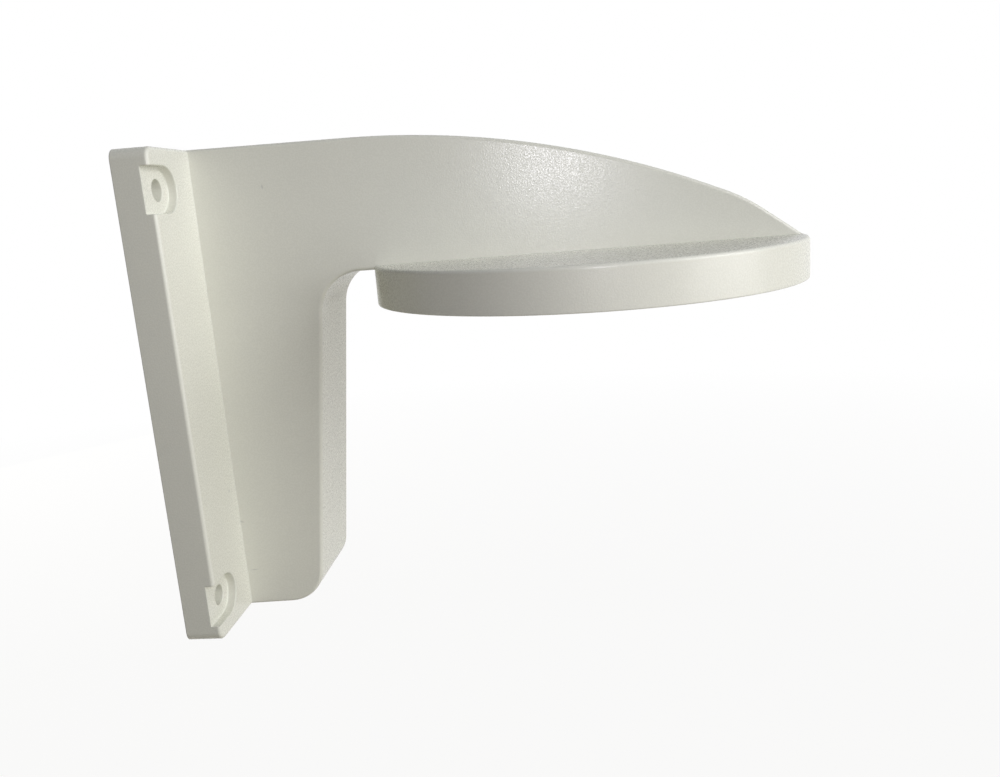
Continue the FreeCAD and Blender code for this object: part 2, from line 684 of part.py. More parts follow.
def check_shape(body):
    shape = body.Shape
    if shape.isNull() or not shape.isValid():
        raise ValueError("%s has no valid shape" % body.Label)
    if len(shape.Solids) != 1:
        raise ValueError("%s is %d solids" % (body.Label, len(shape.Solids)))


make_sheets()
bracket = make_bracket(make_plate(), make_arm(), make_duct())
check_document()
check_shape(bracket)
bracket.Placement = FreeCAD.Placement()

os.makedirs(OUT, exist_ok=True)
bracket.Shape.exportStep(os.path.join(OUT, bracket.Label + ".step"))
print("%s: %.1f cm3" % (bracket.Label, bracket.Shape.Volume / 1000))
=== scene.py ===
import json
import math

import bmesh
import bpy
import numpy as np
from bpy.props import FloatProperty, FloatVectorProperty, PointerProperty
from mathutils import Matrix, Vector


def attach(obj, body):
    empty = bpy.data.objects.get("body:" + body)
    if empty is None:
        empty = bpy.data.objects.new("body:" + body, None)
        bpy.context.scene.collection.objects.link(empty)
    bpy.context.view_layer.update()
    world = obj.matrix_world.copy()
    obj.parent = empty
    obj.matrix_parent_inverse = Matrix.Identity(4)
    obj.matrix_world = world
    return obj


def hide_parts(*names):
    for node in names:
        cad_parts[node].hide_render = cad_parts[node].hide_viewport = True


bl_info = {
    "name": "Wall Bracket Look",
    "version": (1, 0, 0),
    "blender": (4, 5, 0),
    "location": "3D View > Sidebar > Bracket",
    "description": "Fine surface, finish and studio of a moulded wall bracket with a round dish",
    "category": "Object",
}

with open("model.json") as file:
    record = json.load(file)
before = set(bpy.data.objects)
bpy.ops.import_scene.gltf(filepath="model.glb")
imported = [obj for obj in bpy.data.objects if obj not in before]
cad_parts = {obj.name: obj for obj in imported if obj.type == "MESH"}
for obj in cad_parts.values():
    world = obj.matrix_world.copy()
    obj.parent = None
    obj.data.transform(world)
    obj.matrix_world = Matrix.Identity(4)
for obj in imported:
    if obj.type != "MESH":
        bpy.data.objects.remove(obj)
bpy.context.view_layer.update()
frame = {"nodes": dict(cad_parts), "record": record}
NODE = "bracket_body"

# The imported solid's corners and its mounts' sizes, in millimetres
CORNERS = np.array(frame["nodes"][NODE].bound_box) * 1000
LOW, HIGH = CORNERS.min(0), CORNERS.max(0)
MOUNTS = {mount["name"]: mount for mount in frame["record"]["mounts"]}
WALL_BOLTS = MOUNTS["wall_bolts"]["dims"]
DEVICE_SCREWS = MOUNTS["device_screws"]["dims"]
DISH_REACH = MOUNTS["device_screws"]["pos_m"][0] * 1000

# Half the floor's width, its height, and how far from the origin its shading is whole, in metres
FLOOR_HALF = 2.0
FLOOR_HEIGHT = -0.40
SHADING_WHOLE = 0.8

# Where the lights aim, in metres, and the azimuth and elevation they come from, in degrees
BRACKET_MIDDLE = (0.08, 0, 0)
KEY_FROM = (20, 15)
TOP_FROM = (20, 35)
BACK_FROM = (-135, 5)

# Steps round the dish, round a screw hole or boss and round a pilot hole
DISH_AROUND = 288
HOLE_AROUND = 64
PILOT_AROUND = 48

# Steps of the round corners in the side outline
FOOT_STEPS, CROOK_STEPS, NOSE_STEPS, BOW_STEPS = 24, 28, 16, 80

# A radius of 0 is taken as this, and points nearer than these are one, in metres
SMALLEST_RADIUS = 1e-9
SAME_POINT = 1e-7
WELD_DISTANCE = 1e-6

# Faces that meet at more than this keep a sharp edge
SHARP_ANGLE = math.radians(30)

# A closed surface has at least this many faces
FEWEST_FACES = 4

# Bands of the noise that carry the plastic from deep to full tone, and from rough to glossy
TONE_BAND = (0.3, 0.7)
GLOSS_BAND = (0.38, 0.62)

# The noise's middle value, and how strongly the grain shows in the tone
NOISE_MIDDLE = 0.5
GRAIN_IN_TONE = 1.5

# Rub marks beside the arm and at the leg's foot: centre, radii and turn, in mm and degrees
RUB_MARKS = (
    ((10.3, -21.8, -30.0), (0.8, 0.9, 0.6), (0, 0, 0)),
    ((10.5, -16.9, -41.6), (1.4, 0.6, 0.35), (0, 20, 0)),
    ((12.6, -16.7, -57.6), (1.8, 0.5, 0.22), (0, -4, 0)),
    ((10.3, -19.6, -61.6), (0.5, 0.4, 0.5), (0, 0, 0)),
    ((30.1, -15.5, 57.4), (0.3, 0.5, 0.9), (0, 0, 0)),
)


def length(name, description, millimetres):
    """A length property, its default given in millimetres."""
    return FloatProperty(
        name=name, description=description, default=millimetres / 1000,
        min=0, unit="LENGTH", precision=5,
    )


def slope(name, description, degrees):
    """An angle property, its default given in degrees."""
    return FloatProperty(
        name=name, description=description, default=math.radians(degrees), unit="ROTATION",
    )


def share(name, description, default):
    """A property from 0 to 1."""
    return FloatProperty(
        name=name, description=description, default=default, min=0, max=1, subtype="FACTOR",
    )


def lamp_power(name, description, watts):
    """The power of a light."""
    return FloatProperty(name=name, description=description, default=watts, min=0, unit="POWER")


class BracketSizes(bpy.types.PropertyGroup):
    """Sizes of the moulding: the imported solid's, and the broken edge that only this surface has."""

    plate_width: length("Plate width", "Wall plate, across", 82.0)
    plate_height: length("Plate height", "Wall plate, up", HIGH[2] - LOW[2])
    plate_depth: length("Plate depth", "Wall plate, out from the wall", 10.3)
    plate_corner: length("Plate corner", "Radius of the plate's outline corners", 3.0)
    plate_edge: length("Plate edge", "Rounding of the plate's front edge", 1.0)
    wall: length("Wall", "Thickness of the moulded walls", 2.8)
    pan_corner: length("Pan corner", "Corner radius of the hollow behind the plate", 1.5)
    arm_rise: length("Arm rise", "Arm's top above the dish's top", 36.0)
    arm_bow: length("Arm bow", "Radius of the arm's long top curve", 260.0)
    arm_nose: length("Arm nose", "Radius where the top turns down to the tip", 55.0)
    slope_mid: slope("Middle slope", "Fall of the short straight between both curves", 22.6)
    slope_tip: slope("Tip slope", "Fall of the last straight", 35.9)
    arm_mid_run: length("Middle run", "Length of the short straight", 5.4)
    tip_inset: length("Tip inset", "Arm's tip inside the dish's rim", 1.3)
    arm_sink: length("Arm sink", "Arm's underside below the dish's top", 1.2)
    leg_out_top: length("Leg out, top", "Leg's front from the wall, level with the dish's top", 44.2)
    leg_out_foot: length("Leg out, foot", "Leg's front from the wall, level with its foot", 32.4)
    crook_radius: length("Crook", "Inner corner between leg and arm", 12.0)
    foot_radius: length("Foot", "Outer corner at the foot of the leg", 10.5)
    arm_width_root: length("Arm width, root", "Arm and leg at the wall, across", 35.0)
    arm_width_tip: length("Arm width, tip", "Arm at the dish's far rim, across", 11.0)
    arm_edge: length("Arm edge", "Rounding of the arm's long edges", 1.0)
    dish_reach: length("Dish reach", "Dish's centre from the wall", DISH_REACH)
    dish_diameter: length("Dish diameter", "Mounting dish", 2 * (HIGH[0] - DISH_REACH))
    dish_height: length("Dish height", "Mounting dish", 11.1)
    dish_edge: length("Dish edge", "Rounding of the dish's rim", 1.0)
    screw_across: length("Screws across", "Wall screws, spacing across", WALL_BOLTS["spacing_x_mm"])
    screw_up: length("Screws up", "Wall screws, spacing up", WALL_BOLTS["spacing_y_mm"])
    screw_hole: length("Screw hole", "Wall screw hole", 2 * WALL_BOLTS["hole_r_mm"])
    screw_recess: length("Screw recess", "Recess round a wall screw, across its round end", 12.4)
    recess_depth: length("Recess depth", "Recess below the plate's front", 2.6)
    screw_block: length("Screw block", "Block behind a wall screw hole", 11.0)
    device_circle: length("Device circle", "Circle of the device's screws", DEVICE_SCREWS["pcd_mm"])
    device_hole: length("Device hole", "Pilot hole for a device screw", 2 * DEVICE_SCREWS["hole_r_mm"])
    pilot_depth: length("Pilot depth", "Depth of a pilot hole", 9.0)
    device_boss: length("Device boss", "Boss round a pilot hole", 8.0)
    rib: length("Rib", "Thickness of the dish's ribs", 1.8)
    rib_height: length("Rib height", "Height of the dish's ribs", 3.5)
    rib_gap: length("Rib gap", "Leg's walls behind the plate stay this far off the wall", 0.5)
    break_edge: length("Broken edge", "Small rounding that the mould leaves on recesses and holes", 0.3)


class BracketFinish(bpy.types.PropertyGroup):
    """Colours and finish of the plastic, and the colour of the backdrop."""

    plastic: FloatVectorProperty(
        name="Plastic", description="Body colour of the moulding", subtype="COLOR",
        size=4, min=0, max=1, default=(0.757, 0.76, 0.685, 1),
    )
    tone: share("Tone", "How much darker the plastic is in its deeper patches", 0.03)
    cloud: length("Patch", "Typical width of a patch of deeper tone", 30.0)
    roughness: share("Roughness", "Roughness of the satin surface", 0.27)
    gloss_spread: share("Gloss spread", "How far the grains' roughness varies either way", 0.07)
    grain: length("Grain", "Typical width of one grain of the spark-eroded texture", 0.45)
    grain_depth: length("Grain depth", "Height of the spark-eroded texture", 0.036)
    soft_edge: length("Soft edge", "Rounding seen on edges where surfaces meet", 0.35)
    rub: share("Rub", "Strength of the rub marks", 0.6)
    rub_depth: length("Rub depth", "Depth of the rub marks", 0.05)
    rubbed: FloatVectorProperty(
        name="Rubbed", description="Colour of the plastic in a rub mark", subtype="COLOR",
        size=4, min=0, max=1, default=(0.42, 0.43, 0.42, 1),
    )
    floor: FloatVectorProperty(
        name="Floor", description="Colour that the floor sends back onto the bracket",
        subtype="COLOR", size=4, min=0, max=1, default=(0.43, 0.39, 0.28, 1),
    )
    shadow: share("Shadow", "How much of the floor's own light and shadow is seen", 0.07)
    backdrop: FloatVectorProperty(
        name="Backdrop", description="Colour of what surrounds the bracket",
        subtype="COLOR", size=4, min=0, max=1, default=(1, 1, 1, 1),
    )


class BracketStudio(bpy.types.PropertyGroup):
    """Camera of the reference view, and the lights."""

    camera_place: FloatVectorProperty(
        name="Camera", description="Place of the camera", subtype="TRANSLATION",
        size=3, default=(0.1171636, -0.2629025, 0.0486529), precision=5,
    )
    camera_turn: FloatVectorProperty(
        name="Turn", description="Turns of the camera about its own axes from level",
        subtype="EULER", size=3, default=(0.2115, 0.0966, -0.0765),
    )
    lens: FloatProperty(
        name="Focal length", description="Focal length on a sensor 36 mm wide",
        default=31.4594, unit="CAMERA", min=1,
    )
    room: share("Room light", "Level of the even light from all round", 0.03)
    light_size: length("Light size", "Width of each soft light, which is square", 1300)
    light_distance: length("Light distance", "Each soft light's distance from the bracket", 1700)
    key: lamp_power("Key light", "Soft light in front of the plate, to the camera's right", 19.3)
    top: lamp_power("Top light", "Weaker light above the key light", 7.3)
    glint: lamp_power("Glint light", "Small light beside the lens, for the glint on the grain", 0.145)
    glint_size: length("Glint size", "Width of the small light", 20)
    glint_colour: FloatVectorProperty(
        name="Glint colour", description="Colour of the small light", subtype="COLOR",
        size=3, min=0, max=1, default=(0.95, 0.93, 1.0),
    )
    glint_place: FloatVectorProperty(
        name="Glint place", description="Place of the small light", subtype="TRANSLATION",
        size=3, default=(0.143, -0.258, 0.071), precision=3,
    )
    back: lamp_power("Back light", "Light behind the plate, on the far side, never mirrored", 24.5)


def rounded(corners, radii, steps):
    """Closed outline through the corners, anticlockwise, each corner an arc.

    With unit vectors a and b from corner C to its neighbours, h half the angle between
    them and radius r, the arc's centre is C + r / sin(h) along the bisector, and it
    starts at C + a r / tan(h). A point of it is centre + r (cos w, sin w).
    """
    corners = np.array(corners, float)
    radii = np.broadcast_to(np.maximum(radii, SMALLEST_RADIUS), len(corners))
    steps = np.broadcast_to(steps, len(corners))
    a = np.roll(corners, 1, 0) - corners
    b = np.roll(corners, -1, 0) - corners
    a /= np.linalg.norm(a, axis=1, keepdims=True)
    b /= np.linalg.norm(b, axis=1, keepdims=True)
    half = np.arccos(np.clip((a * b).sum(1), -1, 1)) / 2
    middle = (a + b) / np.linalg.norm(a + b, axis=1, keepdims=True)
    centres = corners + middle * (radii / np.sin(half))[:, None]
    first = corners + a * (radii / np.tan(half))[:, None] - centres
    turn = np.sign(b[:, 0] * a[:, 1] - b[:, 1] * a[:, 0]) * (math.pi - 2 * half)
    start = np.arctan2(first[:, 1], first[:, 0])
    runs = []
    for index, count in enumerate(steps):
        angle = start[index] + turn[index] * np.linspace(0, 1, count + 1)
        runs.append(centres[index] + radii[index] * np.stack((np.cos(angle), np.sin(angle)), 1))
    outline = np.concatenate(runs)
    apart = np.linalg.norm(outline - np.roll(outline, 1, 0), axis=1) > SAME_POINT
    return outline[apart]


def circle(radius, steps):
    """Circle about the origin: radius (cos w, sin w)."""
    angle = np.linspace(0, 2 * math.pi, steps, endpoint=False)
    return radius * np.stack((np.cos(angle), np.sin(angle)), 1)


def outward(outline):
    """Mitred outward vectors of a closed anticlockwise outline.

    With unit normals m and n of the two edges at a point, the vector is
    (m + n) / (1 + m . n), so a shift along it keeps every edge parallel.
    """
    edge = np.roll(outline, -1, 0) - outline
    after = np.stack((edge[:, 1], -edge[:, 0]), 1)
    after /= np.linalg.norm(after, axis=1, keepdims=True)
    before = np.roll(after, 1, 0)
    return (before + after) / (1 + (before * after).sum(1, keepdims=True))


def rounding(level, radius, flare=False, steps=5):
    """Heights and shifts that round an upper edge off, or flare it out.

    Height level - r + r sin w and shift -r (1 - cos w), or +r (1 - cos w) for a
    flare, with w from 0 to 90 degrees.
    """
    angle = np.linspace(0, math.pi / 2, steps + 1)
    shift = radius * (1 - np.cos(angle))
    return np.stack((level - radius + radius * np.sin(angle), shift if flare else -shift), 1)


def footing(level, radius, flare=False, steps=5):
    """The same at a lower edge: the heights mirrored in the level, in reverse order."""
    run = rounding(level, radius, flare, steps)[::-1]
    return np.stack((2 * level - run[:, 0], run[:, 1]), 1)


def carried(outline, axis, *stations):
    """The outline carried along an axis: P + shift * outward(P) at each height.

    For axis X the outline lies in Y and Z, and for axis Z in X and Y.
    """
    heights, shifts = np.concatenate([np.reshape(part, (-1, 2)) for part in stations]).T
    flat = outline + shifts[:, None, None] * outward(outline)
    level = np.broadcast_to(heights[:, None, None], (*flat.shape[:2], 1))
    return np.concatenate((level, flat) if axis == "X" else (flat, level), 2)


def about_axis(rows, reach, angle):
    """Rows turned by an angle about Z and moved along X by the reach."""
    c, s = math.cos(angle), math.sin(angle)
    return rows @ np.array(((c, s, 0), (-s, c, 0), (0, 0, 1))) + (reach, 0, 0)


def form(name, *shells):
    """A mesh of closed shells, each a grid of rings with a face over both end rings."""
    whole = bmesh.new()
    for rows in shells:
        count, around = rows.shape[:2]
        here = np.arange(around)
        there = np.roll(here, -1)
        base = (np.arange(count - 1) * around)[:, None]
        above = base + around
        quads = np.stack((base + here, base + there, above + there, above + here), 2)
        last = here + (count - 1) * around
        faces = [*quads.reshape(-1, 4).tolist(), here[::-1].tolist(), last.tolist()]
        shell = bpy.data.meshes.new("shell")
        shell.from_pydata(rows.reshape(-1, 3).tolist(), [], faces)
        whole.from_mesh(shell)
        bpy.data.meshes.remove(shell)
    bmesh.ops.recalc_face_normals(whole, faces=whole.faces)
    mesh = bpy.data.meshes.new(name)
    whole.to_mesh(mesh)
    whole.free()
    return mesh


def combine(target, operation, mesh):
    """Unite the target with a mesh or cut the mesh out of it, and keep the result."""
    tool = bpy.data.objects.new(mesh.name, mesh)
    bpy.context.scene.collection.objects.link(tool)
    step = target.modifiers.new("step", "BOOLEAN")
    step.operation, step.object, step.solver = operation, tool, "EXACT"
    graph = bpy.context.evaluated_depsgraph_get()
    result = bpy.data.meshes.new_from_object(target.evaluated_get(graph))
    if len(result.polygons) < FEWEST_FACES:
        raise RuntimeError("nothing is left after %s" % mesh.name)
    target.modifiers.clear()
    old, target.data = target.data, result
    bpy.data.meshes.remove(old)
    bpy.data.objects.remove(tool)
    bpy.data.meshes.remove(mesh)


def rectangle(half_width, half_height, radius=0.0, steps=8):
    """Rectangle about the origin with round corners."""
    w, h = half_width, half_height
    return rounded([(-w, -h), (w, -h), (w, h), (-w, h)], radius, steps)


def screw_slot(s, end, mouth, steps=20):
    """Outline round the upper right wall screw: round towards the middle, open to the side."""
    y, z = s.screw_across / 2, s.screw_up / 2
    corners = [(y - end, z - end), (mouth, z - end), (mouth, z + end), (y - end, z + end)]
    return rounded(corners, (end, 0, 0, end), (steps, 1, 1, steps))


def in_four_corners(rows):
    """The rows, and their mirror images across the plate and below."""
    return [rows * (1, side, level) for side in (1, -1) for level in (1, -1)]


def plate_steps(s):
    """The wall plate: a rounded pan with a recessed seat and a block at each screw."""
    half_width, half_height, front = s.plate_width / 2, s.plate_height / 2, s.plate_depth
    floor, seat_top = front - s.recess_depth, front - s.wall / 2
    y, z, block = s.screw_across / 2, s.screw_up / 2, s.screw_block / 2
    side, edge = half_width - s.wall / 2, s.break_edge

    outline = rectangle(half_width, half_height, s.plate_corner, steps=12)
    plate = carried(outline, "X", (0, 0), rounding(front, s.plate_edge, steps=8))
    yield None, form("plate", plate)

    outline = rectangle(half_width - s.wall, half_height - s.wall, s.pan_corner)
    pan = carried(outline, "X", (-s.wall, 0), rounding(front - s.wall, edge))
    yield "DIFFERENCE", form("pan", pan)

    outline = screw_slot(s, s.screw_recess / 2 + s.wall, side)
    seat = carried(outline, "X", (floor - s.wall, 0), (seat_top, 0))
    yield "UNION", form("seats", *in_four_corners(seat))

    corners = [(y - block, z - block), (side, z - block), (side, z + block), (y - block, z + block)]
    post = carried(rounded(corners, (edge, 0, 0, edge), steps=4), "X", (0, 0), (seat_top, 0))
    yield "UNION", form("blocks", *in_four_corners(post))

    outline = screw_slot(s, s.screw_recess / 2, half_width + s.wall)
    flare = rounding(front, edge, flare=True)
    recess = carried(outline, "X", footing(floor, edge), flare, (front + s.wall, edge))
    yield "DIFFERENCE", form("recesses", *in_four_corners(recess))

    outline = circle(s.screw_hole / 2, HOLE_AROUND) + (y, z)
    flare = rounding(floor, edge, flare=True)
    hole = carried(outline, "X", (-s.wall, 0), flare, (floor + s.wall / 2, edge))
    yield "DIFFERENCE", form("screw_holes", *in_four_corners(hole))


def dish_steps(s):
    """The mounting dish: a turned shell with a round rim, ribs, bosses and pilot holes."""
    top = s.plate_height / 2 - s.arm_rise
    base, roof = top - s.dish_height, top - s.wall
    reach, radius, edge = s.dish_reach, s.dish_diameter / 2, s.break_edge
    ring = s.device_circle / 2
    rib_top, rib_foot = roof + s.wall / 2, footing(roof - s.rib_height, edge)

    inside = rounding(roof, edge)[::-1] - (0, s.wall)
    shell = carried(
        circle(radius, DISH_AROUND), "Z", inside, (base, -s.wall), (base, -edge),
        footing(base, edge)[1:], rounding(top, s.dish_edge, steps=8))
    yield "UNION", form("dish", about_axis(shell, reach, 0))

    thirds = [third * 2 * math.pi / 3 for third in range(3)]
    outline = circle(s.device_boss / 2, HOLE_AROUND) + (ring, 0)
    boss = carried(outline, "Z", footing(base, edge), (rib_top, 0))
    yield "UNION", form("bosses", *[about_axis(boss, reach, angle) for angle in thirds])

    bar = carried(rectangle(radius - s.wall / 2, s.rib / 2), "Z", rib_foot, (rib_top, 0))
    for angle in thirds:
        yield "UNION", form("rib", about_axis(bar, reach, angle))
    yield "UNION", form("collar", carried(collar(s), "Z", rib_foot, (rib_top, 0)))

    outline = circle(s.device_hole / 2, PILOT_AROUND) + (ring, 0)
    flare = footing(base, edge, flare=True)
    pilot = carried(outline, "Z", (base - s.wall, edge), flare, (base + s.pilot_depth, 0))
    yield "DIFFERENCE", form("pilots", *[about_axis(pilot, reach, angle) for angle in thirds])


def half_width_at(s, x, inset=0.0):
    """Half the arm's width: (root + (tip - root) x / far rim) / 2, less an inset."""
    far = s.dish_reach + s.dish_diameter / 2
    return (s.arm_width_root + (s.arm_width_tip - s.arm_width_root) * x / far) / 2 - inset


def collar(s):
    """U-shaped plan of the collar round the duct's mouth, open at the near rim."""
    near = s.dish_reach - s.dish_diameter / 2 + s.wall
    end = s.dish_reach + (s.device_circle - s.device_boss) / 2
    far, inner = end + s.rib / 2, end - s.rib / 2
    w = half_width_at(s, np.array((near, far, inner)))
    return rounded([
        (near, w[0] - s.rib), (inner, w[2] - s.rib), (inner, s.rib - w[2]), (near, s.rib - w[0]),
        (near, -w[0]), (far, -w[1]), (far, w[1]), (near, w[0]),
    ], radii=0, steps=1)


def side_profile(s, inset, start, tip_x, low, bottom):
    """Side outline of arm and leg in X and Z, anticlockwise.

    The top's long curve and nose curve are round corners between the level top, a
    short straight and the last straight, which ends at the tip. The inset makes the
    duct's outline, one wall inside the arm's.
    """
    top, dish_top = s.plate_height / 2 - inset, s.plate_height / 2 - s.arm_rise
    bow, nose = s.arm_bow - inset, s.arm_nose - inset
    mid, tip = s.slope_mid, s.slope_tip
    mid_up = np.array((-math.cos(mid), math.sin(mid)))
    tip_up = np.array((-math.cos(tip), math.sin(tip)))
    bow_drop = bow * (1 - math.cos(mid))
    nose_drop = nose * (math.cos(mid) - math.cos(tip))
    drop = bow_drop + s.arm_mid_run * math.sin(mid) + nose_drop
    last = (top - dish_top - drop) / math.sin(tip)
    bow_leg, nose_leg = bow * math.tan(mid / 2), nose * math.tan((tip - mid) / 2)
    nose_corner = np.array((tip_x, dish_top)) + (last + nose_leg) * tip_up
    bow_corner = nose_corner + (nose_leg + s.arm_mid_run + bow_leg) * mid_up
    floor = dish_top - s.arm_sink + inset
    near = max(
        s.dish_reach - s.dish_diameter / 2 + 2 * s.wall,
        s.leg_out_top + s.crook_radius + s.wall,
    )
    lean = (s.leg_out_top - s.leg_out_foot) / (s.plate_height / 2 + dish_top)
    back = inset * math.hypot(1, lean)

    def front_at(level):
        return s.leg_out_top - back + (level - dish_top) * lean

    return rounded(
        [(start, top), (start, bottom), (front_at(bottom), bottom), (front_at(floor), floor),
         (near, floor), (near, low), (tip_x, low), (tip_x, dish_top), nose_corner, bow_corner],
        (0, 0, s.foot_radius - inset, s.crook_radius + inset, 0, 0, 0, 0, nose, bow),
        (1, 1, FOOT_STEPS, CROOK_STEPS, 1, 1, 1, 1, NOSE_STEPS, BOW_STEPS),
    )


def slab(s, profile, edge, inset=0.0, steps=7):
    """The side profile given the tapering width, with both long edges round.

    At an angle w from 0 to 90 degrees the ring is P - edge (1 - cos w) outward(P), and
    lies half the width there less edge (1 - sin w) to either side.
    """
    angle = np.linspace(math.pi / 2, 0, steps + 1)
    shift = edge * (1 - np.cos(angle))
    rings = profile - shift[:, None, None] * outward(profile)
    across = half_width_at(s, rings[..., 0], inset) - (edge * (1 - np.sin(angle)))[:, None]
    near = np.stack((rings[..., 0], -across, rings[..., 1]), 2)
    return np.concatenate((near, (near * (1, -1, 1))[::-1]))


def arm_steps(s):
    """The arm and leg with the cable's duct cut out of them, down through the dish."""
    half, dish_top = s.plate_height / 2, s.plate_height / 2 - s.arm_rise
    rim_far = s.dish_reach + s.dish_diameter / 2
    tip_x = rim_far - s.tip_inset
    arm = side_profile(s, 0, s.rib_gap, tip_x, dish_top - (s.arm_sink + s.wall) / 2, -half)
    duct = side_profile(
        s, s.wall, s.rib_gap - s.wall, tip_x - s.wall / math.sin(s.slope_tip),
        dish_top - s.dish_height - s.wall, s.wall - half)
    yield "UNION", form("arm", slab(s, arm, s.arm_edge))
    core = bpy.data.objects.new("core", form("core", slab(s, duct, s.break_edge, s.wall)))
    bpy.context.scene.collection.objects.link(core)
    mouth_far = s.dish_reach + (s.device_circle - s.device_boss - s.wall) / 2
    stop = rectangle(s.arm_width_root, s.plate_height)
    beyond = carried(stop, "X", (mouth_far, 0), (rim_far + s.wall, 0))
    combine(core, "DIFFERENCE", form("stop", beyond))
    mesh = core.data.copy()
    bpy.data.objects.remove(core)
    yield "DIFFERENCE", mesh


class Tree:
    """A new material's node tree, with short calls to fill it."""

    def __init__(self, name):
        self.material = bpy.data.materials.new(name)
        self.material.use_nodes = True
        self.nodes = self.material.node_tree.nodes
        self.shader = self.nodes["Principled BSDF"]
        self.place = self.add("TexCoord").outputs["Object"]

    def add(self, kind, **inputs):
        """A node of a kind, each named input linked to a socket or given a value."""
        node = self.nodes.new("ShaderNode" + kind)
        for name, value in inputs.items():
            self.feed(node.inputs[name.replace("_", " ")], value)
        return node

    def feed(self, socket, value):
        """Link a socket to another, or give it a value."""
        if isinstance(value, bpy.types.NodeSocket):
            self.material.node_tree.links.new(value, socket)
        else:
            socket.default_value = value

    def calculate(self, operation, *values):
        """A Math node's result."""
        node = self.nodes.new("ShaderNodeMath")
        node.operation = operation
        for socket, value in zip(node.inputs, values):
            self.feed(socket, value)
        return node.outputs["Value"]

    def noise(self, width, detail, rough=0.5):
        """Noise whose typical feature is as wide as given, about 0 to 1."""
        return self.add(
            "TexNoise", Vector=self.place, Scale=1 / width, Detail=detail, Roughness=rough,
        ).outputs["Fac"]

    def spread(self, value, low, high, start=0.0, end=1.0):
        """The value carried from low..high to start..end and held between them."""
        return self.add(
            "MapRange", Value=value, From_Min=low, From_Max=high, To_Min=start, To_Max=end,
        ).outputs["Result"]

    def tint(self, amount, first, second):
        """A colour between two: the first at an amount of 0, the second at 1."""
        node = self.nodes.new("ShaderNodeMix")
        node.data_type = "RGBA"
        self.feed(node.inputs["Factor"], amount)
        for socket, value in zip((s for s in node.inputs if s.type == "RGBA"), (first, second)):
            self.feed(socket, value)
        return next(s for s in node.outputs if s.type == "RGBA")


def rub_marks(tree, finish):
    """How much of a point is rubbed, from 0 to 1: short soft strokes at fixed places.

    A mark is an ellipsoid with a centre, three radii and a turn about X and Y, and its
    strength falls from 1 at the centre to 0 at its surface.
    """
    total = 0.0
    for place, radii, turn in RUB_MARKS:
        spot = tree.nodes.new("ShaderNodeMapping")
        spot.vector_type = "TEXTURE"
        tree.feed(spot.inputs["Vector"], tree.place)
        spot.inputs["Location"].default_value = [v / 1000 for v in place]
        spot.inputs["Rotation"].default_value = [math.radians(v) for v in turn]
        spot.inputs["Scale"].default_value = [v / 1000 for v in radii]
        fall = tree.nodes.new("ShaderNodeTexGradient")
        fall.gradient_type = "SPHERICAL"
        tree.feed(fall.inputs["Vector"], spot.outputs["Vector"])
        total = tree.calculate("MAXIMUM", total, fall.outputs["Fac"])
    return tree.calculate("MULTIPLY", total, finish.rub)


def satin_plastic(finish):
    """Warm off-white plastic: spark-eroded grain, uneven tone, soft edges, a few rub marks."""
    tree = Tree("bracket_plastic")
    shader = tree.shader
    shader.inputs["IOR"].default_value = 1.5
    rubbed = rub_marks(tree, finish)

    deep = [channel * (1 - finish.tone) for channel in finish.plastic[:3]] + [1]
    cloud = tree.noise(finish.cloud, detail=3.0)
    grain = tree.noise(finish.grain, detail=2.5, rough=0.6)
    centred = tree.calculate("SUBTRACT", grain, NOISE_MIDDLE)
    speck = tree.calculate("MULTIPLY", centred, GRAIN_IN_TONE)
    speckle = tree.calculate("ADD", cloud, speck)
    body = tree.tint(tree.spread(speckle, *TONE_BAND), deep, finish.plastic)
    tree.feed(shader.inputs["Base Color"], tree.tint(rubbed, body, finish.rubbed))

    low, high = finish.roughness - finish.gloss_spread, finish.roughness + finish.gloss_spread
    tree.feed(shader.inputs["Roughness"], tree.spread(grain, *GLOSS_BAND, high, low))

    edge = tree.add("Bevel", Radius=finish.soft_edge)
    edge.samples = 6
    bump = tree.add("Bump", Distance=finish.grain_depth, Height=grain, Normal=edge.outputs["Normal"])
    dent = tree.add("Bump", Distance=finish.rub_depth, Height=rubbed, Normal=bump.outputs["Normal"])
    dent.invert = True
    tree.feed(shader.inputs["Normal"], dent.outputs["Normal"])
    return tree.material


def pale_floor(finish):
    """Pale floor: seen nearly white, with a soft shadow near the middle; clear from below."""
    tree = Tree("pale_floor")
    tree.shader.inputs["Base Color"].default_value = finish.floor
    tree.shader.inputs["Roughness"].default_value = 1.0
    tree.shader.inputs["Specular IOR Level"].default_value = 0.0
    spread = tree.add("Mapping", Vector=tree.place, Scale=[1 / FLOOR_HALF] * 3)
    fall = tree.add("TexGradient", Vector=spread.outputs["Vector"])
    fall.gradient_type = "SPHERICAL"
    near = tree.spread(fall.outputs["Fac"], 0, 1 - SHADING_WHOLE / FLOOR_HALF)
    ray = tree.add("LightPath")
    seen = tree.calculate("MAXIMUM", ray.outputs["Is Camera Ray"], ray.outputs["Is Glossy Ray"])
    seen = tree.calculate("MAXIMUM", seen, ray.outputs["Is Transmission Ray"])
    glow = tree.add("Emission", Color=finish.backdrop, Strength=1.0)
    unlit = tree.calculate("SUBTRACT", 1.0, tree.calculate("MULTIPLY", near, finish.shadow))
    white = tree.add("MixShader", Fac=tree.calculate("MULTIPLY", seen, unlit))
    tree.feed(white.inputs[1], tree.shader.outputs["BSDF"])
    tree.feed(white.inputs[2], glow.outputs["Emission"])
    below = tree.add("MixShader", Fac=tree.add("NewGeometry").outputs["Backfacing"])
    tree.feed(below.inputs[1], white.outputs["Shader"])
    tree.feed(below.inputs[2], tree.add("BsdfTransparent").outputs["BSDF"])
    tree.feed(tree.nodes["Material Output"].inputs["Surface"], below.outputs["Shader"])
    return tree.material


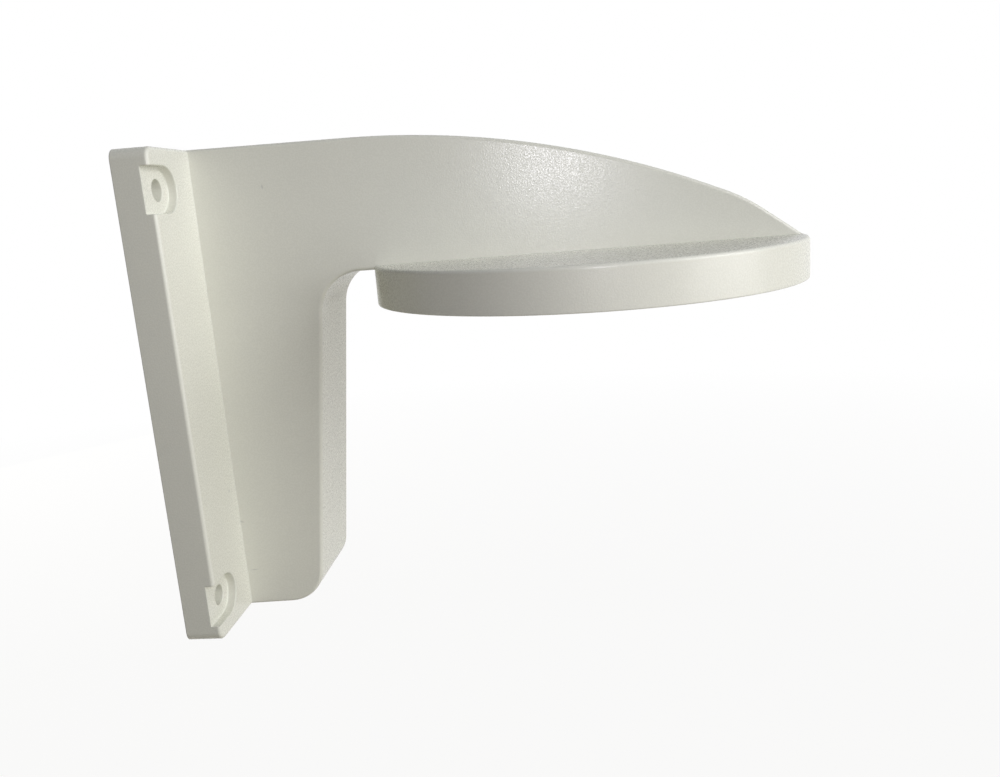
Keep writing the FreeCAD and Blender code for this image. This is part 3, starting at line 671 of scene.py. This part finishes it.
class OBJECT_OT_bracket_moulding(bpy.types.Operator):
    """Make the moulding: wall plate, mounting dish, arm and duct as one fine surface"""

    bl_idname = "object.bracket_moulding"
    bl_label = "Moulding"

    def execute(self, context):
        sizes = context.scene.bracket_sizes
        piece = None
        for steps in (plate_steps, dish_steps, arm_steps):
            for operation, mesh in steps(sizes):
                if piece is None:
                    piece = bpy.data.objects.new("moulding", mesh)
                    context.scene.collection.objects.link(piece)
                else:
                    combine(piece, operation, mesh)
        mesh = piece.data
        mesh.name = "moulding"
        welded = bmesh.new()
        welded.from_mesh(mesh)
        bmesh.ops.remove_doubles(welded, verts=welded.verts, dist=WELD_DISTANCE)
        bmesh.ops.dissolve_degenerate(welded, edges=welded.edges, dist=WELD_DISTANCE)
        welded.to_mesh(mesh)
        welded.free()
        mesh.shade_smooth()
        mesh.set_sharp_from_angle(angle=SHARP_ANGLE)
        weighted = piece.modifiers.new("flat_faces_stay_flat", "WEIGHTED_NORMAL")
        weighted.keep_sharp = True
        weighted.weight = 100
        mesh.materials.clear()
        mesh.materials.append(satin_plastic(context.scene.bracket_finish))
        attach(piece, "root")
        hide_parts(NODE)
        return {"FINISHED"}


def turned(x, y, z):
    """Camera axes right, down and ahead: level along +Y, then turned by y, x and z."""
    axes = Matrix(((1, 0, 0), (0, 0, -1), (0, 1, 0)))
    for angle, axis in ((y, "Y"), (x, "X"), (z, "Z")):
        axes = Matrix.Rotation(angle, 3, axis) @ axes
    return axes


def towards(azimuth, elevation):
    """Unit vector, its azimuth in degrees from +X towards the camera's side, -Y."""
    turn, rise = math.radians(azimuth), math.radians(elevation)
    level = math.cos(rise)
    return Vector((level * math.cos(turn), -level * math.sin(turn), math.sin(rise)))


def soft_light(name, place, size, power, colour=(1, 1, 1)):
    """Square area light, turned towards the bracket's middle; gives its object."""
    data = bpy.data.lights.new(name, "AREA")
    data.shape = "SQUARE"
    data.size = size
    data.energy = power
    data.color = colour
    lamp = bpy.data.objects.new(name, data)
    bpy.context.scene.collection.objects.link(lamp)
    lamp.location = place
    away = lamp.location - Vector(BRACKET_MIDDLE)
    lamp.rotation_euler = away.to_track_quat("Z", "Y").to_euler()
    return lamp


def room_light(studio, finish):
    """World: even light from all round, seen and mirrored as a plain white backdrop."""
    world = bpy.data.worlds.new("studio_world")
    world.use_nodes = True
    nodes, links = world.node_tree.nodes, world.node_tree.links
    room = nodes["Background"]
    room.inputs["Color"].default_value = (1, 1, 1, 1)
    room.inputs["Strength"].default_value = studio.room
    seen = nodes.new("ShaderNodeBackground")
    seen.inputs["Color"].default_value = finish.backdrop
    seen.inputs["Strength"].default_value = 1.0
    path = nodes.new("ShaderNodeLightPath")
    rays = path.outputs["Is Camera Ray"]
    for other in ("Is Glossy Ray", "Is Transmission Ray"):
        either = nodes.new("ShaderNodeMath")
        either.operation = "MAXIMUM"
        links.new(rays, either.inputs[0])
        links.new(path.outputs[other], either.inputs[1])
        rays = either.outputs["Value"]
    mix = nodes.new("ShaderNodeMixShader")
    links.new(rays, mix.inputs["Fac"])
    links.new(room.outputs["Background"], mix.inputs[1])
    links.new(seen.outputs["Background"], mix.inputs[2])
    links.new(mix.outputs["Shader"], nodes["World Output"].inputs["Surface"])
    return world


def reference_camera(studio):
    """Camera of the reference view."""
    data = bpy.data.cameras.new("reference_camera")
    data.lens = studio.lens
    data.sensor_width = 36
    data.sensor_fit = "HORIZONTAL"
    data.clip_start = 0.01
    camera = bpy.data.objects.new("reference_camera", data)
    bpy.context.scene.collection.objects.link(camera)
    right, down, ahead = turned(*studio.camera_turn)
    axes = Matrix((right, -down, -ahead)).transposed().to_4x4()
    camera.matrix_world = Matrix.Translation(studio.camera_place) @ axes
    return camera


def place_lights(studio):
    """Two soft lights in front, one behind that isn't mirrored, and one for the glint."""
    middle, distance, size = Vector(BRACKET_MIDDLE), studio.light_distance, studio.light_size
    soft_light("key_light", middle + distance * towards(*KEY_FROM), size, studio.key)
    soft_light("top_light", middle + distance * towards(*TOP_FROM), size, studio.top)
    back = soft_light("back_light", middle + distance * towards(*BACK_FROM), size, studio.back)
    back.visible_glossy = False
    soft_light(
        "glint_light", studio.glint_place, studio.glint_size, studio.glint, studio.glint_colour)


def floor_square(finish):
    """Square floor below the bracket."""
    half = FLOOR_HALF
    corners = [(-half, -half), (half, -half), (half, half), (-half, half)]
    mesh = bpy.data.meshes.new("floor")
    mesh.from_pydata([(x, y, FLOOR_HEIGHT) for x, y in corners], [], [(0, 1, 2, 3)])
    mesh.materials.append(pale_floor(finish))
    floor = bpy.data.objects.new("floor", mesh)
    bpy.context.scene.collection.objects.link(floor)
    return floor


class OBJECT_OT_bracket_stage(bpy.types.Operator):
    """Set up the studio: camera, lights and plain surroundings"""

    bl_idname = "object.bracket_stage"
    bl_label = "Studio"

    def execute(self, context):
        scene = context.scene
        studio, finish = scene.bracket_studio, scene.bracket_finish
        scene.camera = reference_camera(studio)
        place_lights(studio)
        scene.world = room_light(studio, finish)
        floor_square(finish)
        scene.view_settings.view_transform = "Standard"
        return {"FINISHED"}


class VIEW3D_PT_bracket(bpy.types.Panel):
    """Lists the bracket's operators and settings."""

    bl_label = "Bracket"
    bl_idname = "VIEW3D_PT_bracket"
    bl_space_type = "VIEW_3D"
    bl_region_type = "UI"
    bl_category = "Bracket"

    def draw(self, context):
        layout, scene = self.layout, context.scene
        for operator in OPERATORS:
            layout.operator(operator.bl_idname)
        for group in (scene.bracket_sizes, scene.bracket_finish, scene.bracket_studio):
            for name in group.__annotations__:
                layout.prop(group, name)


OPERATORS = (OBJECT_OT_bracket_moulding, OBJECT_OT_bracket_stage)
CLASSES = (BracketSizes, BracketFinish, BracketStudio, *OPERATORS, VIEW3D_PT_bracket)


def register():
    for item in CLASSES:
        bpy.utils.register_class(item)
    bpy.types.Scene.bracket_sizes = PointerProperty(type=BracketSizes)
    bpy.types.Scene.bracket_finish = PointerProperty(type=BracketFinish)
    bpy.types.Scene.bracket_studio = PointerProperty(type=BracketStudio)


def unregister():
    del bpy.types.Scene.bracket_studio
    del bpy.types.Scene.bracket_finish
    del bpy.types.Scene.bracket_sizes
    for item in reversed(CLASSES):
        bpy.utils.unregister_class(item)


def main():
    """Register the classes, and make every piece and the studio."""
    register()
    bpy.ops.object.bracket_moulding()
    bpy.ops.object.bracket_stage()


if __name__ == "__main__":
    main()
